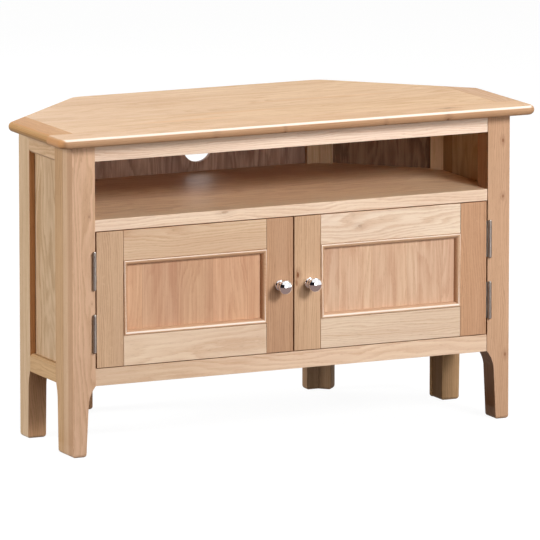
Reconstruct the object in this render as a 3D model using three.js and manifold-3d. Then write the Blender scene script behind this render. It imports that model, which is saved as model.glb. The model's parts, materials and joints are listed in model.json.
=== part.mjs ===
// Corner television cabinet in light oak: an open shelf over a cupboard with two doors.
// Millimetres, +Z up, the front faces -Y.  The plan is a hexagon: a long front, two sides
// that run straight back, two wall sides at 45 degrees and a short back.
import * as THREE from 'three';
import { mergeVertices } from 'three/addons/utils/BufferGeometryUtils.js';
import Module from 'manifold-3d';

const wasm = await Module();
wasm.setup();

// Overall sizes
const topWidth = 900;
const topThickness = 17;
const sideOverhang = 35.5;
const sideDepth = 225;          // post fronts to the corner where the wall side starts
const wallRun = 176;            // from there to the back, and as far towards the middle
const frontOverhang = 35;
const boardThickness = 20;
const clearance = 0.3;          // between two pieces that touch in the real cabinet
const weld = 0.001;             // vertices nearer than this are one vertex
const reach = 1000;             // longer than the cabinet in every direction

// Sizes of the top
const endStripWidth = 48;
const frontStripDepth = 61;
const frontCornerRadius = 16;
const sideCornerRadius = 14;
const backCornerRadius = 38;
const edgeFlat = 0.8;           // flat left between the two quarter rounds of the edge
const cornerSteps = 6;
const edgeSteps = 5;

// Sizes of the legs and posts
const frontPostWidth = 42;
const frontPostDepth = 40;
const rearPostSide = 44;
const rearPostWall = 32;
const rearLegWidth = 33.5;
const backPostBack = 30;
const backPostWall = 32.4;
const footRound = 6;
const footSteps = 4;
const legCurveDrop = 28;        // the curve under a rail, from the rail down
const legCurveIn = 12.8;        // and how far it takes the face back
const legCurvePullDrop = 13;
const legCurvePullIn = 10.6;
const legFootIn = 17.3;         // face set back at the foot
const legCurveSteps = 8;
const stileTaperShare = 0.56;   // the side stile narrows less than a front post
const stileInnerShare = 0.38;   // and its inner face goes back less still
const rearTaperShare = 0.6;     // front face of a rear post

// Heights and boards of the frame
const railBottom = 122;         // floor to the front bottom rail
const bottomRailHeight = 30;
const doorOpeningHeight = 236;
const middleRailHeight = 20;
const openHeight = 100;         // of the open compartment
const topRailHeight = 30;
const railSetback = 1;
const middleRailDepth = 40;
const floorThickness = 18;
const sideStileWidth = 32.4;
const sideTopRailHeight = 37;
const sideRailDrop = 2;         // the side bottom rail starts this far below the front one
const sideRailHeight = 31;
const sideRailChamfer = 4;
const sidePanelThickness = 9;
const sidePanelRecess = 10.6;
const grooveDepth = 6;
const backPanelThickness = 9;
const backPanelInset = 1;
const backPanelLap = 8;         // lap of a back panel on the post behind it
const cableHoleDiameter = 58;
const cableHoleRise = 45;       // shelf to the middle of the hole
const cableHoleSteps = 40;
const cleatSize = 18;
const cleatEndGap = 4.3;        // to the stile and the rear post

// Sizes of the doors
const doorThickness = 20;
const doorGap = 2.4;
const doorStileWidth = 50;
const doorRailWidth = 52;
const doorPanelThickness = 8;
const doorPanelRecess = 8;
const beadWidth = 9;
const beadCrown = 3.8;          // width of the rounded crown along the frame
const beadProud = 2.4;          // the crown stands this far out of the door face
const beadSteps = 4;
const knobFromEdge = 27;
const knobRise = 0.5;           // the knob stands this far above the middle of the door
const knobBaseDiameter = 13;
const knobBallDiameter = 25;
const knobBallReach = 25;       // door face to the middle of the ball
const knobRimLength = 2;
const knobSteps = 12;
const knobSides = 40;
const knobBoreDiameter = 4.6;
const knobBoreDepth = 18;
const screwDiameter = 4;
const screwHeadDiameter = 9;
const screwHeadHeight = 2.4;
const screwLength = 34;
const screwSides = 20;

// Sizes of the hinges
const hingeLength = 63;         // between the two pin heads
const hingePlaceShares = { lower: 0.256, upper: 0.718 };       // of the door's height
const hingeLeafThickness = 0.8;
const hingeLeafWidth = 24;
const hingeKnuckleDiameter = 6.4;
const hingeAxisReach = 3.6;     // door face to the pin line
const hingeAxisOutset = 2.8;    // inner edge of the post to the pin line
const hingeKnuckles = 5;
const pinDiameter = 2.8;
const pinHeadDiameter = 5;
const pinHeadHeight = 2.2;
const pinSteps = 4;
const hingeSides = 24;

// Sizes of the door catches
const catchWidth = 44;
const catchDepth = 14;
const catchHeight = 12;
const catchFromEdge = 60;

// Colours and finishes
const finishes = {
  oak_top: { color: 0xebc9a8, roughness: 0.42, metalness: 0 },
  oak_end: { color: 0xd8ae85, roughness: 0.45, metalness: 0 },
  oak_post: { color: 0xcea98c, roughness: 0.5, metalness: 0 },
  oak_rail: { color: 0xe4c5ab, roughness: 0.5, metalness: 0 },
  oak_side: { color: 0xbe9f82, roughness: 0.5, metalness: 0 },
  oak_door: { color: 0xcda284, roughness: 0.5, metalness: 0 },
  oak_panel: { color: 0xd0a586, roughness: 0.5, metalness: 0 },
  oak_shelf: { color: 0xd8b896, roughness: 0.5, metalness: 0 },
  oak_back: { color: 0xb09078, roughness: 0.6, metalness: 0 },
  chrome: { color: 0xdcdfe3, roughness: 0.08, metalness: 1 },
  nickel: { color: 0xa8a49d, roughness: 0.35, metalness: 1 },
  zinc: { color: 0xb9b6ae, roughness: 0.4, metalness: 1 },
  catch_brown: { color: 0x6b4a33, roughness: 0.6, metalness: 0 },
};

// Places worked out from the sizes
const halfTop = topWidth / 2;
const halfBody = halfTop - sideOverhang;
const bodyDepth = sideDepth + wallRun;
const railTop = railBottom + bottomRailHeight;
const shelfUnder = railTop + doorOpeningHeight;
const shelfTop = shelfUnder + middleRailHeight;
const topRailBottom = shelfTop + openHeight;
const topUnder = topRailBottom + topRailHeight;
const sideRailBottom = railBottom - sideRailDrop;
const sideRailTop = sideRailBottom + sideRailHeight;
const sideTopRailBottom = topUnder - sideTopRailHeight;
const halfBack = halfBody - wallRun;
const postInner = halfBody - frontPostWidth;
const sideInner = halfBody - boardThickness;
const sidePanelOuter = halfBody - sidePanelRecess;
const stileBack = frontPostDepth + sideStileWidth;
const rearPostFront = sideDepth - rearPostSide;
const frontBoardBack = frontStripDepth - frontOverhang;
const legTopHeight = railBottom - clearance;
const diagonal = Math.SQRT1_2;
const mitre = Math.tan(Math.PI / 8);

// Solids from outlines
function solid(geometry) {
  const plain = geometry.index ? geometry.toNonIndexed() : geometry;
  plain.deleteAttribute('normal');
  plain.deleteAttribute('uv');
  const merged = mergeVertices(plain, weld);
  return new wasm.Manifold(new wasm.Mesh({
    numProp: 3,
    vertProperties: new Float32Array(merged.attributes.position.array),
    triVerts: new Uint32Array(merged.index.array),
  }));
}

function block(xs, ys, zs) {
  const [low, high] = [Math.min, Math.max].map(
    (pick) => new THREE.Vector3(pick(...xs), pick(...ys), pick(...zs)));
  const size = high.clone().sub(low);
  const middle = low.clone().add(high).divideScalar(2);
  const box = new THREE.BoxGeometry(size.x, size.y, size.z);
  return solid(box.translate(middle.x, middle.y, middle.z));
}

function extruded(points, depth, bevel) {
  const shape = new THREE.Shape(points.map(([a, b]) => new THREE.Vector2(a, b)));
  return new THREE.ExtrudeGeometry(shape, { depth, bevelEnabled: false, ...bevel });
}

// plan outline, standing between two heights
function upright(points, [low, high]) {
  return solid(extruded(points, high - low).translate(0, 0, low));
}

// outline in x and z, running from one y to another
function alongY(points, [from, to]) {
  return solid(extruded(points, to - from).rotateX(Math.PI / 2).translate(0, to, 0));
}

// outline in y and z, running from one x to another
function alongX(points, xs) {
  const [from, to] = [Math.min(...xs), Math.max(...xs)];
  const geometry = extruded(points, to - from);
  return solid(geometry.rotateX(Math.PI / 2).rotateZ(Math.PI / 2).translate(from, 0, 0));
}

const without = (body, ...others) => others.reduce((rest, other) => rest.subtract(other), body);
const joined = (first, ...others) => others.reduce((sum, other) => sum.add(other), first);

// turns an outline outwards by a distance, keeping its corners sharp
function grown(points, distance) {
  const turn = Math.sign(THREE.ShapeUtils.area(points.map(([x, y]) => ({ x, y }))));
  return points.map((point, i) => {
    const before = points.at(i - 1);
    const after = points[(i + 1) % points.length];
    const normals = [[before, point], [point, after]].map(([a, b]) => {
      const length = Math.hypot(b[0] - a[0], b[1] - a[1]);
      return [turn * (b[1] - a[1]) / length, turn * (a[0] - b[0]) / length];
    });
    const [m, n] = normals;
    const scale = distance / (1 + m[0] * n[0] + m[1] * n[1]);
    return [point[0] + (m[0] + n[0]) * scale, point[1] + (m[1] + n[1]) * scale];
  });
}

const mirrored = (points, side) => points.map(([x, y]) => [side * x, y]);

// an outline with every corner rounded by its own radius
function rounded(corners, steps) {
  return corners.flatMap(({ at, radius }, i) => {
    const corner = new THREE.Vector2(...at);
    const [into, out] = [corners.at(i - 1), corners[(i + 1) % corners.length]].map(
      (other) => new THREE.Vector2(...other.at).sub(corner).normalize());
    const half = Math.acos(into.dot(out)) / 2;
    const run = radius / Math.tan(half);
    const start = corner.clone().addScaledVector(into, run);
    const centre = corner.clone().add(into.clone().add(out).setLength(radius / Math.sin(half)));
    const sweep = Math.sign(into.cross(out)) * (2 * half - Math.PI);
    return Array.from({ length: steps + 1 }, (_, k) => {
      const point = start.clone().rotateAround(centre, sweep * k / steps);
      return [point.x, point.y];
    });
  });
}

// a quarter round in an outline, between two compass directions about its centre
function quarterRound([x, y], radius, from, steps) {
  return Array.from({ length: steps + 1 }, (_, k) => {
    const angle = from + (Math.PI / 2) * k / steps;
    return [x + radius * Math.cos(angle), y + radius * Math.sin(angle)];
  });
}

// Leg shapes
// how far the tapered face stands back, from the foot up to the rail
function taper(share) {
  const end = new THREE.Vector2(legCurveIn * share, railBottom - legCurveDrop);
  const pull = new THREE.Vector2(legCurvePullIn * share, railBottom - legCurvePullDrop);
  const curve = new THREE.QuadraticBezierCurve(end, pull, new THREE.Vector2(0, railBottom));
  return [[legFootIn * share, footRound], ...curve.getPoints(legCurveSteps).map((p) => [p.x, p.y])];
}

// leg outline: a plain edge at "plain", a tapered edge at "cut" that stands back towards it;
// a free plain edge has its lower corner rounded
function legOutline(plain, cut, share, free) {
  const toPlain = Math.sign(plain - cut);
  const taperedEdge = taper(share).map(([back, z]) => [cut + toPlain * back, z]);
  const foot = cut + toPlain * legFootIn * share;
  const tapered = quarterRound([foot + toPlain * footRound, footRound], footRound,
    toPlain > 0 ? Math.PI : -Math.PI / 2, footSteps);
  const straight = !free ? [[plain, 0]] : quarterRound(
    [plain - toPlain * footRound, footRound], footRound,
    toPlain > 0 ? -Math.PI / 2 : Math.PI, footSteps);
  const foots = toPlain > 0 ? [...tapered, ...straight] : [...straight, ...tapered];
  const risen = [...taperedEdge.slice(1), [cut, topUnder - clearance]];
  const top = [plain, topUnder - clearance];
  return toPlain > 0 ? [...foots, top, ...risen.reverse()] : [...foots, ...risen, top];
}

// outline with its lower front corner rounded
function footOutline(front, back, height) {
  return [
    ...quarterRound([front + footRound, footRound], footRound, Math.PI, footSteps),
    [back, 0], [back, height], [front, height],
  ];
}

// a post whose foot is rounded all round its plan outline
function footedPost(points, height) {
  const bevel = {
    bevelEnabled: true, bevelSegments: footSteps, bevelThickness: footRound,
    bevelSize: footRound, bevelOffset: -footRound,
  };
  const whole = solid(extruded(points, height, bevel).translate(0, 0, footRound));
  return whole.intersect(block([-reach, reach], [-reach, reach], [0, height]));
}

// Plan outlines, drawn for the right side and mirrored for the left
const sideCorner = [halfBody, sideDepth];
const backCorner = [halfBack, bodyDepth];
const alongWall = ([x, y], run, inwards) => [
  x - diagonal * (run + inwards), y + diagonal * (run - inwards)];

function rearPostPlan() {
  return [
    [halfBody, rearPostFront], sideCorner, alongWall(sideCorner, rearPostWall, 0),
    alongWall(sideCorner, rearPostWall, boardThickness),
    alongWall(sideCorner, boardThickness * mitre, boardThickness),
    [sideInner, rearPostFront],
  ];
}

function rearLegPlan() {
  const inner = halfBody - rearLegWidth;
  const wallInner = alongWall(sideCorner, rearPostWall, boardThickness);
  const bend = [inner, wallInner[1] - (inner - wallInner[0])];
  return [
    [halfBody, rearPostFront], sideCorner, alongWall(sideCorner, rearPostWall, 0),
    wallInner, bend, [inner, rearPostFront],
  ];
}

function backPostPlan() {
  const bend = [halfBack - boardThickness * mitre, bodyDepth - boardThickness];
  return [
    [halfBack - backPostBack, bodyDepth], [halfBack - backPostBack, bodyDepth - boardThickness],
    bend, alongWall(backCorner, -backPostWall, boardThickness),
    alongWall(backCorner, -backPostWall, 0), backCorner,
  ];
}

const wallLength = wallRun / diagonal;

function wallPanelPlan() {
  const [from, to] = [rearPostWall - backPanelLap, wallLength - backPostWall + backPanelLap];
  const [outer, inner] = [backPanelInset, backPanelInset + backPanelThickness];
  return [
    alongWall(sideCorner, from, outer), alongWall(sideCorner, to, outer),
    alongWall(sideCorner, to, inner), alongWall(sideCorner, from, inner),
  ];
}

function backPanelPlan() {
  const half = halfBack - backPostBack + backPanelLap;
  const [back, front] = [backPanelInset, backPanelInset + backPanelThickness]
    .map((inset) => bodyDepth - inset);
  return [[-half, front], [half, front], [half, back], [-half, back]];
}

// the space between the side frames and the back panels
function insidePlan(front) {
  const inset = backPanelInset + backPanelThickness + clearance;
  const half = sideInner - clearance;
  const wallSum = sideCorner[0] + sideCorner[1] - inset / diagonal;
  const back = bodyDepth - inset;
  return [
    [-half, front], [half, front], [half, wallSum - half], [wallSum - back, back],
    [back - wallSum, back], [-half, wallSum - half],
  ];
}

// Room cut for a neighbour
const panelHeights = [railBottom, topUnder - clearance];
const room = [-reach, reach];
const wallPanelRoom = (side) => upright(grown(mirrored(wallPanelPlan(), side), clearance), room);
const backPanelRoom = () => upright(grown(backPanelPlan(), clearance), room);

function sidePanelSpan(side, slack) {
  const outer = sidePanelOuter + slack;
  return [
    [side * outer, side * (sidePanelOuter - sidePanelThickness - slack)],
    [stileBack - grooveDepth - slack, rearPostFront + grooveDepth + slack],
    [sideRailTop - grooveDepth - slack, sideTopRailBottom + grooveDepth + slack],
  ];
}

// Pieces of the cabinet
function topBlank() {
  const wallTurn = sideDepth - sideOverhang;
  const corners = [
    { at: [-halfTop, -frontOverhang], radius: frontCornerRadius },
    { at: [halfTop, -frontOverhang], radius: frontCornerRadius },
    { at: [halfTop, wallTurn], radius: sideCornerRadius },
    { at: [halfBack, bodyDepth], radius: backCornerRadius },
    { at: [-halfBack, bodyDepth], radius: backCornerRadius },
    { at: [-halfTop, wallTurn], radius: sideCornerRadius },
  ];
  const round = (topThickness - edgeFlat) / 2;
  const bevel = {
    bevelEnabled: true, bevelSegments: edgeSteps, bevelThickness: round,
    bevelSize: round, bevelOffset: -round,
  };
  const geometry = extruded(rounded(corners, cornerSteps), edgeFlat, bevel);
  return solid(geometry.translate(0, 0, topUnder + round));
}

function topBoards() {
  const whole = topBlank();
  const half = clearance / 2;
  const seam = halfTop - endStripWidth;
  const heights = [0, reach];
  return {
    top_centre_board: whole.intersect(
      block([-seam + half, seam - half], [frontBoardBack + half, reach], heights)),
    top_front_board: whole.intersect(
      block([-reach, reach], [-reach, frontBoardBack - half], heights)),
    top_left_end_board: whole.intersect(
      block([-reach, -seam - half], [frontBoardBack + half, reach], heights)),
    top_right_end_board: whole.intersect(
      block([seam + half, reach], [frontBoardBack + half, reach], heights)),
  };
}

function frontPost(side) {
  const across = legOutline(side * halfBody, side * postInner, 1, true);
  const body = alongY(across, [0, frontPostDepth]);
  const end = footOutline(0, frontPostDepth, topUnder);
  return body.intersect(alongX(end, room));
}

function rearPost(side) {
  const upper = upright(mirrored(rearPostPlan(), side), [footRound + footRound, topUnder - clearance]);
  const leg = footedPost(mirrored(rearLegPlan(), side), legTopHeight);
  const profile = alongX(legOutline(bodyDepth, rearPostFront, rearTaperShare, false), room);
  return without(joined(upper, leg).intersect(profile),
    wallPanelRoom(side).intersect(block(room, room, [railBottom - clearance, reach])),
    block(...sidePanelSpan(side, clearance)));
}

function backPost(side) {
  const whole = footedPost(mirrored(backPostPlan(), side), topUnder - clearance);
  const above = block(room, room, [railBottom - clearance, reach]);
  return without(whole, wallPanelRoom(side).intersect(above), backPanelRoom().intersect(above));
}

function sideStile(side) {
  const profile = legOutline(frontPostDepth + clearance, stileBack, stileTaperShare, false);
  const across = legOutline(side * halfBody, side * sideInner, stileInnerShare, true);
  const standing = alongX(profile, room).intersect(alongY(across, [0, sideDepth]));
  return without(standing, block(...sidePanelSpan(side, clearance)));
}

function sideRail(side, [low, high], chamferAt) {
  const cut = sideRailChamfer;
  const outer = side * halfBody;
  const inner = side * sideInner;
  const soft = side * (halfBody - cut);
  const outline = chamferAt === high
    ? [[inner, low], [outer, low], [outer, high - cut], [soft, high], [inner, high]]
    : [[inner, high], [outer, high], [outer, low + cut], [soft, low], [inner, low]];
  const rail = alongY(outline, [stileBack + clearance, rearPostFront - clearance]);
  return without(rail, block(...sidePanelSpan(side, clearance)));
}

const frontRail = (depth, heights) => block(
  [clearance - postInner, postInner - clearance], [railSetback, railSetback + depth], heights);

function insideBoard(front, heights) {
  const cutters = [-1, 1].flatMap((side) => [
    upright(grown(mirrored(rearPostPlan(), side), clearance), room),
    upright(grown(mirrored(backPostPlan(), side), clearance), room),
    block([side * (postInner - clearance), side * reach],
      [-reach, frontPostDepth + clearance], room),
  ]);
  return without(upright(insidePlan(front), heights), ...cutters);
}

function backPanel() {
  const hole = new THREE.CylinderGeometry(
    cableHoleDiameter / 2, cableHoleDiameter / 2, reach, cableHoleSteps);
  const bore = solid(hole.translate(0, bodyDepth, shelfTop + cableHoleRise));
  return without(upright(backPanelPlan(), panelHeights), bore);
}

function topCleat(side) {
  const inner = sideInner - clearance;
  return block([side * (inner - cleatSize), side * inner],
    [stileBack + cleatEndGap, rearPostFront - cleatEndGap],
    [topUnder - clearance - cleatSize, topUnder - clearance]);
}

// Pieces of a door
const doorOuter = postInner - doorGap;          // hinge edge of a door
const doorInner = doorGap / 2;                  // meeting edge
const doorLow = railTop + doorGap / 2;
const doorHigh = shelfUnder - doorGap / 2;
const knobHeight = (doorLow + doorHigh) / 2 + knobRise;
const hingeHeight = (share) => doorLow + share * (doorHigh - doorLow);
const panelSpanX = [doorInner + doorStileWidth, doorOuter - doorStileWidth];
const panelSpanZ = [doorLow + doorRailWidth, doorHigh - doorRailWidth];

function doorPanelBlock(side, slack) {
  const more = grooveDepth + slack;
  return block([side * (panelSpanX[0] - more), side * (panelSpanX[1] + more)],
    [doorPanelRecess - slack, doorPanelRecess + doorPanelThickness + slack],
    [panelSpanZ[0] - more, panelSpanZ[1] + more]);
}

const knobX = (side) => side * (doorInner + knobFromEdge);

function turned(points, sides) {
  return new THREE.LatheGeometry(points.map(([r, y]) => new THREE.Vector2(r, y)), sides);
}

function screwProfile() {
  const head = screwHeadDiameter / 2;
  const shank = screwDiameter / 2;
  return [[0, 0], [shank, 0], [shank, screwLength - screwHeadHeight],
    [head, screwLength - screwHeadHeight], [head, screwLength - screwHeadHeight / 2],
    [head - screwHeadHeight / 2, screwLength], [0, screwLength]];
}

// the screw stands behind the door with its head on the back face
function screw(side, slack) {
  const grow = (r) => (r > 0 ? r + slack : r);
  const profile = screwProfile().map(([r, y], i, all) => [grow(r),
    y + (i < 2 ? -slack : 0) + (i > all.length - 3 ? slack : 0)]);
  const back = doorThickness + clearance + screwHeadHeight;
  const geometry = turned(profile, screwSides);
  return solid(geometry.translate(knobX(side), back - screwLength, knobHeight));
}

function doorStile(side, xs) {
  const stile = block(xs.map((x) => side * x), [0, doorThickness], [doorLow, doorHigh]);
  return without(stile, doorPanelBlock(side, clearance));
}

function doorRail(side, zs) {
  const xs = [panelSpanX[0] + clearance, panelSpanX[1] - clearance].map((x) => side * x);
  return without(block(xs, [0, doorThickness], zs), doorPanelBlock(side, clearance));
}

// a rounded crown, then a hollow down to the panel: distance from the frame edge against depth
function beadProfile() {
  const back = doorPanelRecess - clearance;
  const turn = Array.from({ length: beadSteps + 1 }, (_, k) => (Math.PI / 2) * k / beadSteps);
  const crown = turn.map((angle) => [
    (beadCrown / 2) * (1 - Math.cos(2 * angle)), -beadProud * Math.sin(2 * angle)]);
  const hollow = turn.slice(1).map((angle) => [
    beadCrown + (beadWidth - beadCrown) * (1 - Math.cos(angle)), (back - edgeFlat) * Math.sin(angle)]);
  crown[beadSteps][1] = 0;
  return [[0, back], ...crown, ...hollow, [beadWidth, back]];
}

// a ring of the bead profile with four mitred corners, drawn out to the panel's rectangle
function doorBead(side) {
  const [x0, x1] = panelSpanX;
  const [z0, z1] = panelSpanZ;
  const across = (x1 - x0) / 2 - clearance;
  const up = (z1 - z0) / 2 - clearance;
  const half = Math.min(across, up);
  const profile = beadProfile().reverse();
  const ring = profile.concat([profile[0]]).map(([d, y]) => new THREE.Vector2((half - d) / diagonal, y));
  const geometry = new THREE.LatheGeometry(ring, 4, Math.PI / 4);
  const { position } = geometry.attributes;
  for (let i = 0; i < position.count; i += 1) {
    const [x, z] = [position.getX(i), position.getZ(i)];
    position.setX(i, x + Math.sign(x) * (across - half));
    position.setZ(i, z + Math.sign(z) * (up - half));
  }
  return solid(geometry.translate(side * (x0 + x1) / 2, 0, (z0 + z1) / 2));
}

// a tapered body that ends in a ball, turned about a line square to the door
function knob(side) {
  const base = knobBaseDiameter / 2;
  const ball = knobBallDiameter / 2;
  const start = Math.asin((ball - base) / (knobBallReach - knobRimLength));
  const arc = Array.from({ length: knobSteps + 1 }, (_, k) => {
    const angle = -start + (Math.PI / 2 + start) * k / knobSteps;
    return [k === knobSteps ? 0 : ball * Math.cos(angle), knobBallReach + ball * Math.sin(angle)];
  });
  const profile = [[0, clearance], [base, clearance], [base, knobRimLength], ...arc];
  const body = turned(profile, knobSides).rotateX(Math.PI).translate(knobX(side), 0, knobHeight);
  const bore = new THREE.CylinderGeometry(
    knobBoreDiameter / 2, knobBoreDiameter / 2, knobBoreDepth, screwSides);
  const middle = clearance - knobBoreDepth / 2;
  return without(solid(body), solid(bore.translate(knobX(side), middle, knobHeight)));
}

// Pieces of a hinge
const hingeAxisX = (side) => side * (postInner + hingeAxisOutset);
const knuckleBack = hingeKnuckleDiameter / 2 - hingeAxisReach;
const knucklePitch = hingeLength / hingeKnuckles;

function tube(x, [low, high]) {
  const knuckle = new THREE.CylinderGeometry(
    hingeKnuckleDiameter / 2, hingeKnuckleDiameter / 2, high - low, hingeSides);
  const turnedUp = knuckle.rotateX(Math.PI / 2);
  return solid(turnedUp.translate(x, -hingeAxisReach, (low + high) / 2));
}

// leaf on the door when toDoor is 1, on the post when it is -1: a plate in the gap beside the
// door, a strip across the front of the post and the knuckles
function hingeLeaf(side, toDoor, height) {
  const low = height - hingeLength / 2;
  const heights = [low, low + hingeLength];
  const axisX = hingeAxisX(side);
  const gapMiddle = postInner - doorGap / 2;
  const nearWood = doorGap / 2 - clearance / 2;
  const outer = side * (gapMiddle - toDoor * nearWood);
  const inner = side * (gapMiddle - toDoor * (nearWood - hingeLeafThickness));
  const front = knuckleBack - hingeLeafThickness;
  const plate = block([outer, inner], [front, hingeLeafWidth], heights);
  const strip = block([toDoor > 0 ? outer : inner, axisX], [front, knuckleBack], heights);
  const own = (k) => k % 2 === (toDoor > 0 ? 1 : 0);
  const all = Array.from({ length: hingeKnuckles }, (_, k) => k);
  const knuckles = all.filter(own).map((k) => tube(axisX,
    [low + k * knucklePitch, low + (k + 1) * knucklePitch]));
  const gaps = all.filter((k) => !own(k)).map((k) => {
    const half = hingeKnuckleDiameter / 2 + clearance;
    return block([side * doorOuter, axisX + side * half],
      [-hingeAxisReach - half, half - hingeAxisReach],
      [low + k * knucklePitch - clearance, low + (k + 1) * knucklePitch + clearance]);
  });
  const pinRoom = new THREE.CylinderGeometry(
    pinDiameter / 2 + clearance, pinDiameter / 2 + clearance, reach, hingeSides);
  const bore = solid(pinRoom.rotateX(Math.PI / 2).translate(axisX, -hingeAxisReach, height));
  return without(joined(plate, strip, ...knuckles), ...gaps, bore);
}

function hingePin(side, height) {
  const shank = pinDiameter / 2;
  const head = pinHeadDiameter / 2;
  const end = hingeLength / 2 + clearance;
  const dome = Array.from({ length: pinSteps + 1 }, (_, k) => {
    const angle = (Math.PI / 2) * k / pinSteps;
    return [k === pinSteps ? 0 : head * Math.cos(angle), end + pinHeadHeight * Math.sin(angle)];
  });
  const lower = dome.toReversed().map(([r, y]) => [r, -y]);
  const profile = [...lower, [shank, -end], [shank, end], ...dome];
  const geometry = turned(profile, hingeSides).rotateX(Math.PI / 2);
  return solid(geometry.translate(hingeAxisX(side), -hingeAxisReach, height));
}

function doorCatch(side) {
  const x = side * (doorInner + catchFromEdge);
  const front = doorThickness + clearance;
  return block([x - catchWidth / 2, x + catchWidth / 2], [front, front + catchDepth],
    [shelfUnder - clearance - catchHeight, shelfUnder - clearance]);
}

// The assembly
const pieces = [];
const add = (name, finish, body) => pieces.push({ name, finish, body });

Object.entries(topBoards()).forEach(([name, body]) => {
  add(name, name.includes('end') ? 'oak_end' : 'oak_top', body);
});

add('front_top_rail', 'oak_rail', frontRail(boardThickness, [topRailBottom, topUnder - clearance]));
add('front_middle_rail', 'oak_rail', frontRail(middleRailDepth, [shelfUnder, shelfTop]));
add('front_bottom_rail', 'oak_rail', frontRail(boardThickness, [railBottom, railTop]));
add('open_shelf', 'oak_shelf', insideBoard(
  railSetback + middleRailDepth + clearance, [shelfTop - floorThickness, shelfTop]));
add('cupboard_floor', 'oak_shelf', insideBoard(
  railSetback + boardThickness + clearance, [railTop - floorThickness, railTop]));
add('back_panel', 'oak_back', backPanel());

for (const [word, side] of [['left', -1], ['right', 1]]) {
  add(`${word}_front_post`, 'oak_post', frontPost(side));
  add(`${word}_rear_post`, 'oak_side', rearPost(side));
  add(`${word}_back_post`, 'oak_side', backPost(side));
  add(`${word}_side_stile`, 'oak_side', sideStile(side));
  add(`${word}_side_top_rail`, 'oak_side',
    sideRail(side, [sideTopRailBottom, topUnder - clearance], sideTopRailBottom));
  add(`${word}_side_bottom_rail`, 'oak_side',
    sideRail(side, [sideRailBottom, sideRailTop], sideRailTop));
  add(`${word}_side_panel`, 'oak_side', block(...sidePanelSpan(side, 0)));
  add(`${word}_wall_panel`, 'oak_back', upright(mirrored(wallPanelPlan(), side), panelHeights));
  add(`${word}_top_cleat`, 'oak_shelf', topCleat(side));
  add(`${word}_door_catch`, 'catch_brown', doorCatch(side));

  const screwRoom = screw(side, clearance);
  add(`${word}_door_hinge_stile`, 'oak_door', doorStile(side, [doorOuter - doorStileWidth, doorOuter]));
  add(`${word}_door_meeting_stile`, 'oak_door',
    without(doorStile(side, [doorInner, doorInner + doorStileWidth]), screwRoom));
  add(`${word}_door_top_rail`, 'oak_rail', doorRail(side, [panelSpanZ[1], doorHigh]));
  add(`${word}_door_bottom_rail`, 'oak_rail', doorRail(side, [doorLow, panelSpanZ[0]]));
  add(`${word}_door_panel`, 'oak_panel', doorPanelBlock(side, 0));
  add(`${word}_door_bead`, 'oak_panel', doorBead(side));
  add(`${word}_door_knob`, 'chrome', knob(side));
  add(`${word}_knob_screw`, 'zinc', screw(side, 0));

  Object.entries(hingePlaceShares).forEach(([place, share]) => {
    const height = hingeHeight(share);
    add(`${word}_${place}_hinge_door_leaf`, 'nickel', hingeLeaf(side, 1, height));
    add(`${word}_${place}_hinge_post_leaf`, 'nickel', hingeLeaf(side, -1, height));
    add(`${word}_${place}_hinge_pin`, 'nickel', hingePin(side, height));
  });
}

function meshOf({ name, finish, body }) {
  const { vertProperties, triVerts, numProp } = body.getMesh();
  const geometry = new THREE.BufferGeometry();
  geometry.setAttribute('position', new THREE.BufferAttribute(vertProperties, numProp));
  geometry.setIndex(new THREE.BufferAttribute(triVerts, 1));
  geometry.computeVertexNormals();
  const mesh = new THREE.Mesh(geometry, new THREE.MeshStandardMaterial(finishes[finish]));
  mesh.name = name;
  return mesh;
}

const cabinet = new THREE.Group();
cabinet.name = 'corner_tv_cabinet';
cabinet.add(...pieces.map(meshOf));

// the origin is on the floor, under the middle of the bounding box
const { min, max } = new THREE.Box3().setFromObject(cabinet);
cabinet.children.forEach((mesh) => mesh.geometry.translate(0, -(min.y + max.y) / 2, 0));

export default cabinet;
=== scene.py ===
"""Corner television cabinet in light oak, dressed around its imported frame."""
import json
import math

import bmesh
import bpy
from mathutils import Matrix, Vector


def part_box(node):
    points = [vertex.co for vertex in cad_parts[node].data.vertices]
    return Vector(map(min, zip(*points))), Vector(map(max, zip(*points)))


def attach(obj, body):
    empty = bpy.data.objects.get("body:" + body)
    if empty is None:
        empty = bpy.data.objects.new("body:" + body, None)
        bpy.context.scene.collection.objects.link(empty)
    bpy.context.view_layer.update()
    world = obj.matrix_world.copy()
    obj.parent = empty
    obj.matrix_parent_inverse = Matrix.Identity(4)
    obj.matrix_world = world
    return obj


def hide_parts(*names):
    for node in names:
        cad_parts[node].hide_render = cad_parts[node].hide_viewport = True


MM = 0.001
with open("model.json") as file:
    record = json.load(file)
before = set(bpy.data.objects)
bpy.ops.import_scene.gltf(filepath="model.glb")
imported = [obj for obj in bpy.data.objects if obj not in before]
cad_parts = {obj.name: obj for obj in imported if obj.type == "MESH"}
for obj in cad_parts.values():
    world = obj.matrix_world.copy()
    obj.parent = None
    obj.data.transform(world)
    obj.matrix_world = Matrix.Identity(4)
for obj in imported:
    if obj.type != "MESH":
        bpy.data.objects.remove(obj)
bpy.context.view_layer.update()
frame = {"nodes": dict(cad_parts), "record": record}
SIDES = (("left", -1), ("right", 1))
BODY_OF = {n: b for b, names in frame["record"]["behaviour"]["bodies"].items() for n in names}

X, Y, Z = (1, 0, 0), (0, 1, 0), (0, 0, 1)
LEFTWARD, FORWARD, DOWNWARD = (-1, 0, 0), (0, -1, 0), (0, 0, -1)
SLANT = math.sqrt(0.5)      # sine of the 45 degrees of the walls


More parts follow.
